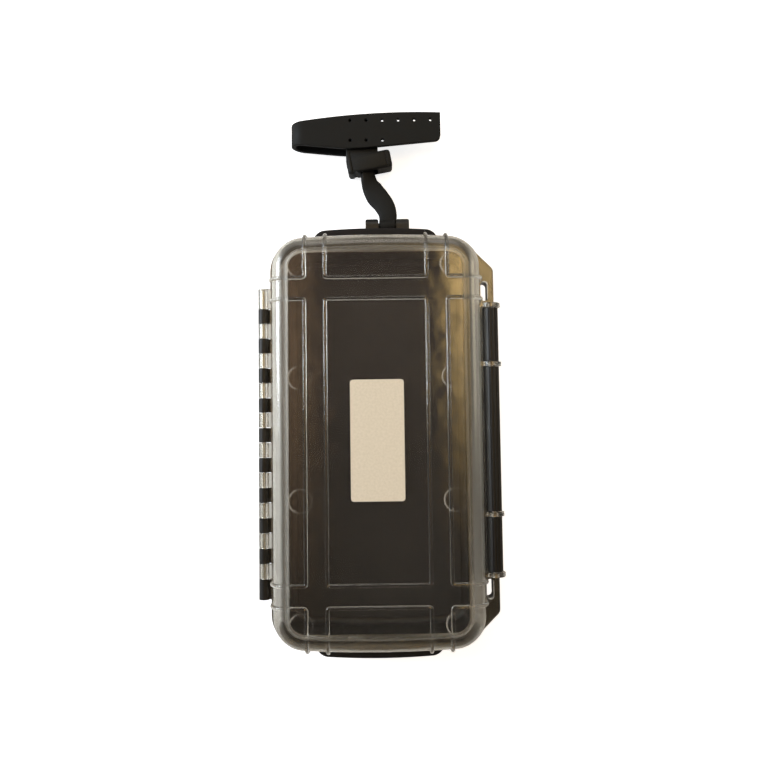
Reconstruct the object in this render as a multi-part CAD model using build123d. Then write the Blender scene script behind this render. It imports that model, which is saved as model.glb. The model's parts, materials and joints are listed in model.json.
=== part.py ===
from build123d import *
from math import sqrt
import os

# Hard case for a phone: a clear lid and a black base on one pinned hinge, shut by a long latch.
# Millimetres. Z = 0 is the table under the base, X runs from the hinge to the latch,
# and +Y points to the end that carries the wrist strap.

# Driving dimensions of the case body
body_width = 108.0
body_length = 205.6
end_bulge = 2.3
corner_radius = 18.0
base_height = 27.0
lid_height = 17.0
seam_gap = 0.2

# Base tub and its rim
rim_height = 7.0
rim_width = 7.0
tub_inset = 4.0
tub_draft = 3.0
tub_bottom_radius = 5.0
floor_thickness = 3.0
cavity_bottom_radius = 3.0
liner_thickness = 2.2
liner_clearance = 0.4

# Seal, its groove in the base rim and the lid's tongue over it
seal_inset = 3.0
seal_width = 2.4
seal_height = 1.8
seal_clearance = 0.1
groove_depth = 2.4
tongue_width = 1.4
tongue_depth = 0.5

# Lid dome
lid_flange_height = 3.5
lid_flange_step = 1.2
lid_draft = 4.0
lid_edge_radius = 6.5
lid_top_thickness = 3.0
lid_rim_width = 6.6
lid_cavity_radius = 3.0
lid_cavity_draft = 6.0

# Beads that frame the nine fields of the lid
bead_radius = 1.0
bead_corner_radius = 1.3
side_field_width = 18.6
end_field_length = 22.2
field_gap_x = 10.2
field_gap_y = 10.6
bead_edge_radius = 7.8

# Moulding marks of the lid
ejector_radius = 5.8
ejector_height = 0.3
ejector_side_inset = 16.0
ejector_end_insets = (15.8, 13.8)
ejector_middle_rows = (31.0, -29.3)
gate_radius = 2.5
gate_height = 0.25
gate_offset = (4.0, 1.4)

# Blank label
label_width = 26.4
label_length = 59.4
label_thickness = 0.3
label_corner = 1.5

# Piano hinge
knuckle_radius = 2.65
hinge_end_inset = 24.0
inner_knuckles = 18
end_knuckle_length = 10.4
knuckle_gap = 0.3
hinge_centre_y = -0.8
hinge_wall_gap = 1.4
hinge_pin_radius = 1.2
pin_end_inset = 1.5
pin_running_clearance = 0.05
pin_seat_clearance = 0.02

# Wings beside the latch, with a slot through both
wing_reach = 5.8
wing_latch_gap = 0.8
wing_end_inset = 2.8
wing_chamfer = 13.3
wing_radius = 3.0
base_wing_extra = 0.8
slot_width = 3.8
slot_length = 10.2
slot_start = 4.1
slot_rim = 2.5

# Latch, its lugs on the lid and its pin
latch_barrel_radius = 3.9
latch_wall_gap = 0.5
latch_drop_from_top = 7.5
latch_end_inset = 37.6
latch_side_gap = 0.4
lug_thickness = 2.0
lug_radius = 5.0
inner_lug_inset = 28.1
latch_leg_gap = 0.6
latch_leg_thickness = 4.4
latch_bottom_z = 12.0
latch_lip_reach = 1.8
nose_gap = 0.3
nose_height = 3.4
nose_tip_gap = 1.2
latch_pin_radius = 1.25
ridge_radius = 0.35
ridge_angles = (40, 62, 84, 106)

# End bumpers
bumper_width = 66.0
bumper_reach = 5.8
bumper_bottom_z = 3.0
bumper_top_z = 23.5
bumper_corner = 7.0
bumper_edge_radius = 2.0
bumper_bulge = 1.4
bumper_fit = 0.1

# Strap anchor on the strap end
anchor_x = 6.4
anchor_bar_z = 11.0
anchor_bar_radius = 1.6
anchor_out = 9.6
ear_radius = 3.8
ear_width = 6.9
ear_corner = 1.7
eye_width = 8.7
eye_side_gap = 0.45
eye_radius = 3.4
notch_gap = 0.8

# Wrist strap: neck, keeper and band
neck_thickness = 2.6
neck_tip_from_bar = -10.6
neck_tip_width = 6.6
keeper_width = 23.0
keeper_length = 10.6
keeper_height = 11.0
keeper_turn = 10.4
keeper_from_bar = (-10.0, 35.4)
keeper_corner = 2.0
keeper_hook_radius = 1.2
keeper_hook_inset = 3.8
saddle_sides = (-10.8, 6.6)
saddle_rear = 7.5
pocket_width = 11.0
throat_gap = 0.4
strap_insert = 4.5
band_seat_gap = 0.1
band_thickness = 2.3
band_length = 81.4
band_from_bar = (-11.2, 52.5)
band_left_edges = (4.6, -6.9)
band_middle_edges = (9.0, -10.4)
band_right_edges = (9.3, -6.2)
band_widest_x = -8.0
band_tail_radius = 2.5
band_lower_end = -1.0
band_hole_radius = 0.95
band_hole_pitch = 8.7
band_hole_count = 6
band_hole_start = -8.2
band_hole_rows = (5.3, -5.7)
band_short_row_count = 3

# Values that follow from the driving dimensions
half_width = body_width / 2
half_length = body_length / 2
lid_bottom = base_height + seam_gap
lid_top = base_height + lid_height
rim_bottom = base_height - rim_height
dome_bottom = lid_bottom + lid_flange_height
hinge_x = -(half_width + hinge_wall_gap + knuckle_radius)
hinge_z = base_height + seam_gap / 2
latch_x = half_width - lid_flange_step + latch_barrel_radius + latch_wall_gap
latch_z = lid_top - latch_drop_from_top
bar_y = half_length + end_bulge + anchor_out
throat_z = keeper_height / 2
band_height = keeper_height + band_seat_gap + band_thickness
outer_bead_x = half_width - side_field_width
middle_bead_x = outer_bead_x - field_gap_x
outer_bead_y = half_length - end_field_length
middle_bead_y = outer_bead_y - field_gap_y
ejector_rows = (half_length - ejector_end_insets[0], *ejector_middle_rows, ejector_end_insets[1] - half_length)
latch_length = body_length - 2 * latch_end_inset
inner_lug_y = latch_length / 2 - inner_lug_inset
hinge_length = body_length - 2 * hinge_end_inset
knuckle_pitch = (hinge_length - 2 * end_knuckle_length) / inner_knuckles
wing_start_y = latch_length / 2 + wing_latch_gap
wing_end_y = half_length - wing_end_inset
wing_corner_y = wing_end_y - wing_chamfer
slot_centre_y = wing_start_y + slot_start + slot_length / 2
keeper_place = (anchor_x + keeper_from_bar[0], bar_y + keeper_from_bar[1])
band_place = (anchor_x + band_from_bar[0], bar_y + band_from_bar[1])
neck_tip_x = anchor_x + neck_tip_from_bar
end_arc_radius = (half_width ** 2 + end_bulge ** 2) / (2 * end_bulge)


def end_y(x):
    """Distance of the arched end wall from the middle of the case, at x."""
    return half_length + end_bulge - (end_arc_radius - sqrt(end_arc_radius ** 2 - x ** 2))


def outline(inset=0.0):
    """Plan of the case: straight sides, arched ends, round corners, drawn inset from the rim."""
    with BuildSketch() as plan:
        with BuildLine():
            Line((half_width, -half_length), (half_width, half_length))
            ThreePointArc((half_width, half_length), (0, half_length + end_bulge), (-half_width, half_length))
            Line((-half_width, half_length), (-half_width, -half_length))
            ThreePointArc((-half_width, -half_length), (0, -half_length - end_bulge), (half_width, -half_length))
        make_face()
        fillet(plan.vertices(), corner_radius)
        if inset:
            offset(amount=-inset, kind=Kind.INTERSECTION)
    return plan.sketch


def slab(sketch, bottom, top):
    """A plan sketch made solid between two heights."""
    return extrude(Pos(0, 0, bottom) * sketch, top - bottom)


def ring(outer_inset, inner_inset, bottom, top):
    """A band that follows the rim of the case."""
    return slab(outline(outer_inset) - outline(inner_inset), bottom, top)


def block(low, high):
    """A box from its lowest to its highest corner."""
    size = [b - a for a, b in zip(low, high)]
    middle = [(a + b) / 2 for a, b in zip(low, high)]
    return Pos(*middle) * Box(*size)


def rod(radius, length, centre, axis="Y"):
    """A round bar along X or Y, centred on a point."""
    turn = Rot(90, 0, 0) if axis == "Y" else Rot(0, 90, 0)
    return Pos(*centre) * turn * Cylinder(radius, length)


def wing_plan(extra=0.0):
    """Both wings in plan: chamfered plates at the ends of the latch."""
    edge = half_width + wing_reach + extra
    inner = half_width - rim_width + 1
    run = wing_end_y - wing_corner_y
    plans = []
    for side in (1, -1):
        corners = [(inner, side * wing_start_y), (edge, side * wing_start_y),
                   (edge, side * (wing_corner_y + extra / 2)),
                   (edge - run - extra / 2, side * (wing_end_y + extra)), (inner, side * (wing_end_y - run / 2))]
        plate = make_face(Polyline(*corners, close=True))
        outer = [v for v in plate.vertices() if v.X > edge - 1]
        plans.append(fillet(outer, wing_radius))
    return plans


def wing_slots(bottom, top):
    """Cutters for the slot in each wing."""
    centre_x = half_width + wing_reach - slot_rim - slot_width / 2
    cutters = []
    for side in (1, -1):
        plan = Pos(centre_x, side * slot_centre_y) * Rot(0, 0, 90) * SlotOverall(slot_length, slot_width)
        cutters.append(slab(plan, bottom - 1, top + 1))
    return cutters


def knuckle_spans():
    """Start and end of every hinge knuckle along Y, from the strap end down, lid and base in turn."""
    top = hinge_centre_y + hinge_length / 2 - end_knuckle_length
    spans = [(top, top + end_knuckle_length)]
    for number in range(inner_knuckles):
        spans.append((top - (number + 1) * knuckle_pitch, top - number * knuckle_pitch))
    bottom = hinge_centre_y - hinge_length / 2 + end_knuckle_length
    spans.append((bottom - end_knuckle_length, bottom))
    return spans


def knuckles(owner, wall_x, web_side):
    """Knuckles of the lid (owner 0) or the base (owner 1), each with a web to its wall."""
    solids = []
    for low, high in knuckle_spans()[owner::2]:
        low, high = low + knuckle_gap / 2, high - knuckle_gap / 2
        barrel = rod(knuckle_radius, high - low, (hinge_x, (low + high) / 2, hinge_z))
        web_low, web_high = sorted((hinge_z + web_side * seam_gap / 2, hinge_z + web_side * knuckle_radius))
        solids.append(barrel + block((hinge_x, low, web_low), (wall_x, high, web_high)))
    return solids


def hinge_bore(radius):
    """Cutter for the pin through every knuckle."""
    return rod(radius, hinge_length + 2, (hinge_x, hinge_centre_y, hinge_z))


def make_base_shell():
    """Black base: drafted tub, wide rim, groove, knuckles, wings and the ears for the strap."""
    tub = extrude(Pos(0, 0, rim_bottom) * outline(tub_inset), rim_bottom, dir=(0, 0, -1), taper=tub_draft)
    tub = fillet(tub.edges().group_by(Axis.Z)[0], tub_bottom_radius)
    shell = tub + slab(outline(), rim_bottom, base_height)
    shell += [slab(plan, rim_bottom, base_height) for plan in wing_plan(base_wing_extra)]
    pocket = slab(outline(rim_width), floor_thickness, base_height + 1)
    shell -= fillet(pocket.edges().group_by(Axis.Z)[0], cavity_bottom_radius)
    groove_in = seal_inset - seal_clearance
    groove_out = seal_inset + seal_width + seal_clearance
    shell -= ring(groove_in, groove_out, base_height - groove_depth, base_height + 1)
    shell -= wing_slots(rim_bottom, base_height)
    shell += knuckles(1, -half_width + 1, -1)
    shell -= hinge_bore(hinge_pin_radius + pin_seat_clearance)
    return shell + anchor_ears() - rod(anchor_bar_radius + pin_seat_clearance, 2 * bumper_width,
                                       (anchor_x, bar_y, anchor_bar_z), "X")


def anchor_ears():
    """Two ears on the strap end that hold the bar."""
    inner = eye_width / 2 + eye_side_gap
    wall_y = half_length - tub_inset
    ears = []
    for low, high in ((anchor_x - inner - ear_width, anchor_x - inner),
                      (anchor_x + inner, anchor_x + inner + ear_width)):
        tip = rod(ear_radius, high - low, ((low + high) / 2, bar_y, anchor_bar_z), "X")
        root = block((low, wall_y, anchor_bar_z - ear_radius), (high, bar_y, anchor_bar_z + ear_radius))
        far = bar_y + ear_radius
        with BuildSketch(Pos((low + high) / 2, far - bar_y / 2, 0)) as plan:
            RectangleRounded(high - low, bar_y, ear_corner)
        ears.append((tip + root) & slab(plan.sketch, 0, base_height))
    return ears


def make_bumper(side):
    """Rubber bumper moulded round one end of the tub. The strap end has a notch for the anchor."""
    reach = half_length + end_bulge + bumper_reach
    half = bumper_width / 2
    with BuildSketch() as plan:
        with BuildLine():
            Line((-half, half_length - tub_inset), (-half, reach - bumper_bulge))
            ThreePointArc((-half, reach - bumper_bulge), (0, reach), (half, reach - bumper_bulge))
            Line((half, reach - bumper_bulge), (half, half_length - tub_inset))
            Line((half, half_length - tub_inset), (-half, half_length - tub_inset))
        make_face()
        fillet(plan.vertices().group_by(Axis.Y)[-1], bumper_corner)
    pad = slab(plan.sketch, bumper_bottom_z, bumper_top_z)
    outer_edges = [e for e in pad.edges().group_by(Axis.Z)[0] + pad.edges().group_by(Axis.Z)[-1]
                   if e.center().Y > half_length]
    pad = fillet(outer_edges, bumper_edge_radius)
    pad -= slab(outline(-bumper_fit), rim_bottom - bumper_fit, base_height)
    pad -= extrude(Pos(0, 0, rim_bottom) * outline(tub_inset - bumper_fit), rim_bottom,
                   dir=(0, 0, -1), taper=tub_draft)
    if side > 0:
        inner = eye_width / 2 + eye_side_gap + notch_gap
        notch = block((anchor_x - inner - ear_width, half_length - tub_inset - 5,
                       anchor_bar_z - ear_radius - notch_gap),
                      (anchor_x + inner + ear_width, reach + 1, anchor_bar_z + ear_radius + notch_gap))
        pad -= notch
        return pad
    return Rot(0, 0, 180) * pad


def make_liner():
    """Rubber pad on the floor of the base."""
    pad = slab(outline(rim_width + cavity_bottom_radius + liner_clearance),
               floor_thickness, floor_thickness + liner_thickness)
    return fillet(pad.edges().group_by(Axis.Z)[-1], liner_thickness / 3)


def make_seal():
    """Rubber seal in the groove of the base rim."""
    bottom = base_height - groove_depth
    band = ring(seal_inset, seal_inset + seal_width, bottom, bottom + seal_height)
    return fillet(band.edges().group_by(Axis.Z)[-1], seal_height / 3)


def lid_bead(points, corners):
    """A round bead along points on the lid, with the given radius at each inner point."""
    path = FilletPolyline(*points, radius=corners)
    start = Plane(origin=path @ 0, z_dir=path % 0)
    return sweep(start * Circle(bead_radius), path=path)


def rim_end(x, y, across):
    """Three points that carry a bead from the lid's top over its edge and down the wall."""
    foot = dome_bottom - bead_radius / 2
    if across:
        wall = half_width - lid_flange_step
        side = 1 if x > 0 else -1
        return [(side * wall, y, lid_top), (side * wall, y, foot)]
    wall = end_y(x) - lid_flange_step
    side = 1 if y > 0 else -1
    return [(x, side * wall, lid_top), (x, side * wall, foot)]


def lid_beads():
    """Beads of the four corner fields, the four edge fields and the middle field."""
    beads = []
    rounds = [bead_edge_radius, bead_corner_radius, bead_edge_radius]
    for sx in (1, -1):
        for sy in (1, -1):
            x, y = sx * outer_bead_x, sy * outer_bead_y
            down_end = rim_end(x, y, False)
            down_side = rim_end(x, y, True)
            beads.append(lid_bead([down_end[1], down_end[0], (x, y, lid_top), *down_side], rounds))
    rounds = [bead_edge_radius, bead_corner_radius, bead_corner_radius, bead_edge_radius]
    for sy in (1, -1):
        x, y = middle_bead_x, sy * outer_bead_y
        left, right = rim_end(-x, y, False), rim_end(x, y, False)
        points = [left[1], left[0], (-x, y, lid_top), (x, y, lid_top), *right]
        beads.append(lid_bead(points, rounds))
    for sx in (1, -1):
        x, y = sx * outer_bead_x, middle_bead_y
        low, high = rim_end(x, -y, True), rim_end(x, y, True)
        points = [low[1], low[0], (x, -y, lid_top), (x, y, lid_top), *high]
        beads.append(lid_bead(points, rounds))
    return beads + middle_bead()


def middle_bead():
    """Closed bead round the middle field."""
    x, y = middle_bead_x, middle_bead_y
    corners = [(x, y, lid_top), (-x, y, lid_top), (-x, -y, lid_top), (x, -y, lid_top)]
    path = FilletPolyline(*corners, radius=bead_corner_radius, close=True)
    start = Plane(origin=path @ 0, z_dir=path % 0)
    return [sweep(start * Circle(bead_radius), path=path)]


def latch_lug(y):
    """One clear lug that carries the latch pin."""
    disc = rod(lug_radius, lug_thickness, (latch_x, y, latch_z))
    arm_half = lug_radius * 0.72
    arm = block((half_width - lid_flange_step - 2.5, y - lug_thickness / 2, latch_z - arm_half),
                (latch_x, y + lug_thickness / 2, latch_z + arm_half))
    return disc + arm


def lug_places():
    outer = latch_length / 2 + latch_side_gap + lug_thickness / 2
    return (-outer, -inner_lug_y, inner_lug_y, outer)


def make_lid_shell():
    """Clear lid: flange, drafted dome with a round edge, beads, knuckles, wings and latch lugs."""
    dome = extrude(Pos(0, 0, lid_bottom) * outline(lid_flange_step), lid_top - lid_bottom, taper=lid_draft)
    dome = fillet(dome.edges().group_by(Axis.Z)[-1], lid_edge_radius)
    lid = dome + slab(outline(), lid_bottom, dome_bottom)
    lid += [slab(plan, lid_bottom, dome_bottom) for plan in wing_plan()]
    tongue_inset = seal_inset + (seal_width - tongue_width) / 2
    lid += ring(tongue_inset, tongue_inset + tongue_width, lid_bottom - tongue_depth, lid_bottom)
    lid += lid_beads()
    cavity_height = lid_top - lid_top_thickness - lid_bottom
    cavity = extrude(Pos(0, 0, lid_bottom) * outline(lid_rim_width), cavity_height, taper=lid_cavity_draft)
    cavity = fillet(cavity.edges().group_by(Axis.Z)[-1], lid_cavity_radius)
    cavity += slab(outline(lid_rim_width), lid_bottom - tongue_depth - 1, lid_bottom)
    lid -= cavity
    lid -= wing_slots(lid_bottom, dome_bottom)
    lid += knuckles(0, -half_width + lid_flange_step + 1, 1)
    lid -= hinge_bore(hinge_pin_radius + pin_running_clearance)
    lid += [latch_lug(y) for y in lug_places()]
    lid -= rod(latch_pin_radius + pin_seat_clearance, latch_length * 1.2, (latch_x, 0, latch_z))
    under_top = lid_top - lid_top_thickness
    for y in ejector_rows:
        for side in (1, -1):
            lid += Pos(side * (half_width - ejector_side_inset), y, under_top) * Cylinder(
                ejector_radius, ejector_height, align=(Align.CENTER, Align.CENTER, Align.MAX))
    gate = Pos(middle_bead_x + gate_offset[0], middle_bead_y + gate_offset[1], lid_top)
    return lid + gate * Cylinder(
        gate_radius, gate_height, align=(Align.CENTER, Align.CENTER, Align.MIN))


def make_label():
    """Blank white label in the middle of the lid."""
    return slab(RectangleRounded(label_width, label_length, label_corner), lid_top, lid_top + label_thickness)


def make_latch():
    """Black latch: barrel on the pin, thick leg, hook nose under the rim and a finger lip."""
    leg_in = half_width + latch_leg_gap
    leg_out = leg_in + latch_leg_thickness
    nose_top = rim_bottom - nose_gap
    nose_in = half_width - tub_inset + nose_tip_gap
    with BuildSketch(Plane.XZ) as section:
        with BuildLine():
            Polyline((leg_in, latch_z), (leg_in, nose_top), (nose_in, nose_top),
                     (nose_in + 0.6, nose_top - nose_height * 0.5), (leg_in, nose_top - nose_height),
                     (leg_in, latch_bottom_z), (leg_out + latch_lip_reach, latch_bottom_z),
                     (leg_out + latch_lip_reach, latch_bottom_z + 1.6), (leg_out, latch_bottom_z + 5),
                     (leg_out + 1.0, latch_z), close=True)
        make_face()
        with Locations((latch_x, latch_z)):
            Circle(latch_barrel_radius)
    bar = extrude(section.sketch, latch_length / 2, both=True)
    for angle in ridge_angles:
        spot = Vector(latch_barrel_radius, 0, 0).rotate(Axis.Y, -angle)
        bar -= rod(ridge_radius, latch_length + 1, (latch_x + spot.X, 0, latch_z + spot.Z))
    for y in (-inner_lug_y, inner_lug_y):
        bar -= rod(lug_radius + latch_side_gap, lug_thickness + 2 * latch_side_gap, (latch_x, y, latch_z))
    return bar - rod(latch_pin_radius + pin_running_clearance, latch_length + 1, (latch_x, 0, latch_z))


def make_latch_pin():
    """Steel pin through the latch and the four lugs."""
    ends = lug_places()
    return rod(latch_pin_radius, ends[-1] - ends[0] + lug_thickness, (latch_x, 0, latch_z))


def make_hinge_pin():
    """Steel hinge pin through all knuckles, a little short of both ends."""
    return rod(hinge_pin_radius, hinge_length - 2 * pin_end_inset, (hinge_x, hinge_centre_y, hinge_z))


def make_strap_pin():
    """Bar in the ears of the anchor."""
    low = anchor_x - eye_width / 2 - eye_side_gap - ear_width + 1
    high = anchor_x + eye_width / 2 + eye_side_gap + ear_width - 1
    return rod(anchor_bar_radius, high - low, ((low + high) / 2, bar_y, anchor_bar_z), "X")


def make_strap_neck():
    """Flat rubber neck: an eye on the bar, then an S bend that narrows into the keeper."""
    half = eye_width / 2
    keeper_front = keeper_place[1] - keeper_length / 2
    tip_y = keeper_front + strap_insert
    with BuildSketch() as plan:
        with BuildLine():
            left = Spline((anchor_x - half, bar_y + 4), (anchor_x - 10.8, bar_y + 16.9),
                          (anchor_x - 13.6, bar_y + 21.8), (neck_tip_x - neck_tip_width / 2, tip_y),
                          tangents=[(0, 1), (0, 1)])
            right = Spline((anchor_x + half, bar_y + 4), (anchor_x + 4.9, bar_y + 14.6),
                           (anchor_x - 1.2, bar_y + 24.4), (neck_tip_x + neck_tip_width / 2, tip_y),
                           tangents=[(0, 1), (0, 1)])
            Line((anchor_x - half, bar_y - eye_radius), left @ 0)
            Line((anchor_x + half, bar_y - eye_radius), right @ 0)
            Line((anchor_x - half, bar_y - eye_radius), (anchor_x + half, bar_y - eye_radius))
            Line(left @ 1, right @ 1)
        make_face()
    with BuildSketch(Plane.YZ) as side:
        with BuildLine():
            fall = Spline((bar_y, anchor_bar_z), (bar_y + 12, throat_z - 1), (keeper_front - 3, throat_z),
                          tangents=[(1, -0.3), (1, 0)])
            Line(fall @ 1, (tip_y, throat_z))
        trace(line_width=neck_thickness)
        with Locations((bar_y, anchor_bar_z)):
            Circle(eye_radius)
    neck = slab(plan.sketch, 0, 2 * anchor_bar_z) & extrude(side.sketch, body_width, both=True)
    return neck - rod(anchor_bar_radius + pin_running_clearance, body_width, (0, bar_y, anchor_bar_z), "X")


def make_keeper():
    """Plastic keeper: a pocket in front takes the neck, and a saddle behind sits between the band's two runs."""
    body = Pos(0, 0, keeper_height / 2) * Box(keeper_width, keeper_length, keeper_height)
    body = fillet(body.edges(), keeper_corner)
    hook = Pos(-keeper_width / 2 + keeper_hook_inset, -keeper_length / 2, keeper_height / 2)
    body -= hook * Cylinder(keeper_hook_radius, 2 * keeper_height)
    depth = strap_insert + 3 * throat_gap
    pocket = Pos(0, (depth - keeper_length) / 2, throat_z) * Box(
        pocket_width, depth, neck_thickness + 2 * throat_gap)
    saddle_width = saddle_sides[1] - saddle_sides[0]
    saddle_front = keeper_place[1] - band_place[1]
    saddle = Pos(sum(saddle_sides) / 2, (saddle_rear + saddle_front) / 2, keeper_height / 2) * Box(
        saddle_width, saddle_rear - saddle_front, keeper_height)
    saddle = fillet(saddle.edges() | Axis.Z, keeper_corner / 2)
    turned = Pos(*keeper_place, 0) * Rot(0, 0, keeper_turn)
    near_edge = band_middle_edges[1] - band_seat_gap
    run = block((-band_length, near_edge, -1),
                (band_lower_end + band_seat_gap, 2 * band_length, band_thickness + band_seat_gap))
    return turned * body + Pos(*band_place, 0) * saddle - turned * pocket - Pos(*band_place, 0) * run


def band_section():
    """The band seen along its axis: out of the keeper, round a bend and back over it to a free tail."""
    half = band_length / 2
    bend = band_height / 2
    inside = band_height - band_thickness
    with BuildSketch(Plane.XZ) as section:
        with BuildLine():
            Line((band_lower_end, 0), (bend - half, 0))
            ThreePointArc((bend - half, 0), (-half, bend), (bend - half, band_height))
            Line((bend - half, band_height), (half, band_height))
            Line((half, band_height), (half, inside))
            Line((half, inside), (bend - half, inside))
            ThreePointArc((bend - half, inside), (band_thickness - half, bend), (bend - half, band_thickness))
            Line((bend - half, band_thickness), (band_lower_end, band_thickness))
            Line((band_lower_end, band_thickness), (band_lower_end, 0))
        make_face()
    return section.sketch


def band_plan():
    """The band seen from above: widest over the keeper, with a tail that narrows to a rounded corner."""
    half = band_length / 2
    far_left, near_left = band_left_edges
    far_middle, near_middle = band_middle_edges
    far_right, near_right = band_right_edges
    with BuildSketch() as plan:
        with BuildLine():
            ThreePointArc((-half, far_left), (0, far_middle), (half, far_right))
            Line((half, far_right), (half, near_right))
            Line((half, near_right), (band_widest_x, near_middle))
            Line((band_widest_x, near_middle), (-half, near_left))
            Line((-half, near_left), (-half, far_left))
        make_face()
        tail = plan.vertices().sort_by(Axis.X)[-2:].sort_by(Axis.Y)[0]
        fillet(tail, band_tail_radius)
    return plan.sketch


def make_band():
    """Rubber band turned back over the keeper, with two rows of small holes in its upper run."""
    band = extrude(band_section(), body_width, both=True) & slab(band_plan(), 0, band_height)
    for y, count in zip(band_hole_rows, (band_hole_count, band_short_row_count)):
        for number in range(count):
            x = band_hole_start + number * band_hole_pitch
            band -= Pos(x, y, band_height) * Cylinder(band_hole_radius, 2 * band_thickness + 1)
    return Pos(*band_place, 0) * band


NODES = {
    "base_shell": make_base_shell,
    "strap_end_bumper": lambda: make_bumper(1),
    "plain_end_bumper": lambda: make_bumper(-1),
    "floor_liner": make_liner,
    "rim_seal": make_seal,
    "hinge_pin": make_hinge_pin,
    "strap_pin": make_strap_pin,
    "lid_shell": make_lid_shell,
    "lid_label": make_label,
    "latch_pin": make_latch_pin,
    "latch_lever": make_latch,
    "strap_neck": make_strap_neck,
    "strap_keeper": make_keeper,
    "strap_band": make_band,
}

os.makedirs("parts", exist_ok=True)
for node, make in NODES.items():
    solid = make()
    export_step(solid, f"parts/{node}.step")
    print(node, round(solid.volume, 1))
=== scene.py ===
# %% [markdown]
# A dry box is a small waterproof case: a black tub, a clear lid on a hinge, a latch and a wrist strap.
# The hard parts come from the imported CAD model, which this script loads as a fixed frame. Here they get
# their finishes, and the rubber strap is modelled again as the soft thing it is. Lengths are in metres.

# %% Load the frame
import json
import math
import bmesh
import bpy
from mathutils import Matrix, Vector

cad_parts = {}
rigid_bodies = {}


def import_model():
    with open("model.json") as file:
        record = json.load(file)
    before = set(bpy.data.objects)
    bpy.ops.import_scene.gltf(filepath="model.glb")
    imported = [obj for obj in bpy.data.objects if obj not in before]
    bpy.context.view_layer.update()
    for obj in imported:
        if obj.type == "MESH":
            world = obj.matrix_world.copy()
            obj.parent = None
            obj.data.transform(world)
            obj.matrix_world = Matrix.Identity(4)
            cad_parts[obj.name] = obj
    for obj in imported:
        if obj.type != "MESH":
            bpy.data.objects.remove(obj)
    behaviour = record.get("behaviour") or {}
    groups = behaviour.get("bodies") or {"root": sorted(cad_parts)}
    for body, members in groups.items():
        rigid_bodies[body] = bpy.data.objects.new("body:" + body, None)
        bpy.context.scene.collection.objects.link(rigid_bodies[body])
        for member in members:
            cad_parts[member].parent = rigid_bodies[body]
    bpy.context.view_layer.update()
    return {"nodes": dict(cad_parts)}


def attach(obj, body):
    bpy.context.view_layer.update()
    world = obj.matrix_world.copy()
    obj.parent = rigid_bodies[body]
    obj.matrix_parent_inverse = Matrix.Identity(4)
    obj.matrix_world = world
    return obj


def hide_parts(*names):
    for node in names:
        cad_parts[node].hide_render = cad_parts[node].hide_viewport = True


for old in list(bpy.data.objects):
    bpy.data.objects.remove(old)
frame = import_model()
nodes = frame["nodes"]
MM = 0.001

# %% [markdown]
# The picture was taken from almost straight above, from about 37 cm over the lid. The beads on the lid
# run together by 4 percent from one end to the other, and a fit to them and to the two bumpers gave the
# camera's place and its small tilt. A camera looks along its own minus Z, so an unturned one looks down,
# and only the tilt and the roll are left to set.

# %% Camera
CAMERA_PLACE = Vector((3.52, 5.34, 414.0)) * MM
CAMERA_TILT = math.radians(3.409)
CAMERA_ROLL = math.radians(-0.758)
SENSOR_WIDTH = 36.0
FOCAL_PIXELS = 756.5
PICTURE_PIXELS = 768
tilt = Matrix.Rotation(CAMERA_TILT, 4, "X")
roll = Matrix.Rotation(CAMERA_ROLL, 4, "Z")
camera_data = bpy.data.cameras.new("overhead_camera")
camera_data.sensor_width = SENSOR_WIDTH
camera_data.lens = SENSOR_WIDTH * FOCAL_PIXELS / PICTURE_PIXELS
camera_data.clip_start = 0.01
camera_data.clip_end = 20.0
camera = bpy.data.objects.new("overhead_camera", camera_data)
bpy.context.scene.collection.objects.link(camera)
camera.matrix_world = Matrix.Translation(CAMERA_PLACE) @ tilt @ roll
bpy.context.scene.camera = camera
bpy.context.scene.view_settings.view_transform = "Standard"
print("lens", round(camera_data.lens, 2), "mm")

# %% [markdown]
# Light levels and patterns are sums over a few coordinates. These helpers add the nodes for such a sum.
# A term is a number or the result of another node, and the owner is the world or the material.

# %% Helpers for sums


def reckon(owner, operation, *terms):
    """One step of a sum, as a node; returns its result."""
    tree = owner.node_tree
    calculation = tree.nodes.new("ShaderNodeMath")
    calculation.operation = operation
    for socket, term in zip(calculation.inputs, terms):
        if isinstance(term, (int, float)):
            socket.default_value = term
        else:
            tree.links.new(term, socket)
    return calculation.outputs["Value"]


def times(owner, first, *others):
    """The product of several terms."""
    for other in others:
        first = reckon(owner, "MULTIPLY", first, other)
    return first


def plus(owner, first, *others):
    """The sum of several terms."""
    for other in others:
        first = reckon(owner, "ADD", first, other)
    return first


def between(owner, source, low, high, near, far):
    """A number that goes from low to high while the source goes from near to far, and stays there."""
    tree = owner.node_tree
    spread = tree.nodes.new("ShaderNodeMapRange")
    for socket, value in (("From Min", near), ("From Max", far), ("To Min", low), ("To Max", high)):
        spread.inputs[socket].default_value = value
    tree.links.new(source, spread.inputs["Value"])
    return spread.outputs["Result"]


def ramp_up(owner, source, start, full):
    """A number that rises from 0 at the start to 1 at the full value, and stays there."""
    return between(owner, source, 0.0, 1.0, start, full)


def value_ramp(owner, source, stops):
    """A colour ramp over a value, from (position, colour) stops."""
    tree = owner.node_tree
    ramp = tree.nodes.new("ShaderNodeValToRGB")
    points = ramp.color_ramp.elements
    while len(points) < len(stops):
        points.new(0.5)
    for point, (position, colour) in zip(points, stops):
        point.position = position
        point.color = (*colour, 1.0)
    tree.links.new(source, ramp.inputs["Fac"])
    return ramp.outputs["Color"]


print("sums ready")

# %% [markdown]
# Clear plastic shows its surroundings more than itself, so the room matters. A photograph of a room could
# be wrapped round the scene, but a plain one made of soft ramps is easier to steer: cool and bright on
# the hinge side, warm and dimmer on the latch side, dim overhead, because the flat lid mirrors what hangs
# above it, and a little lighter towards the strap's end. The ramps run along the axes of the direction
# that a ray goes in, whose length is one.

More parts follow.
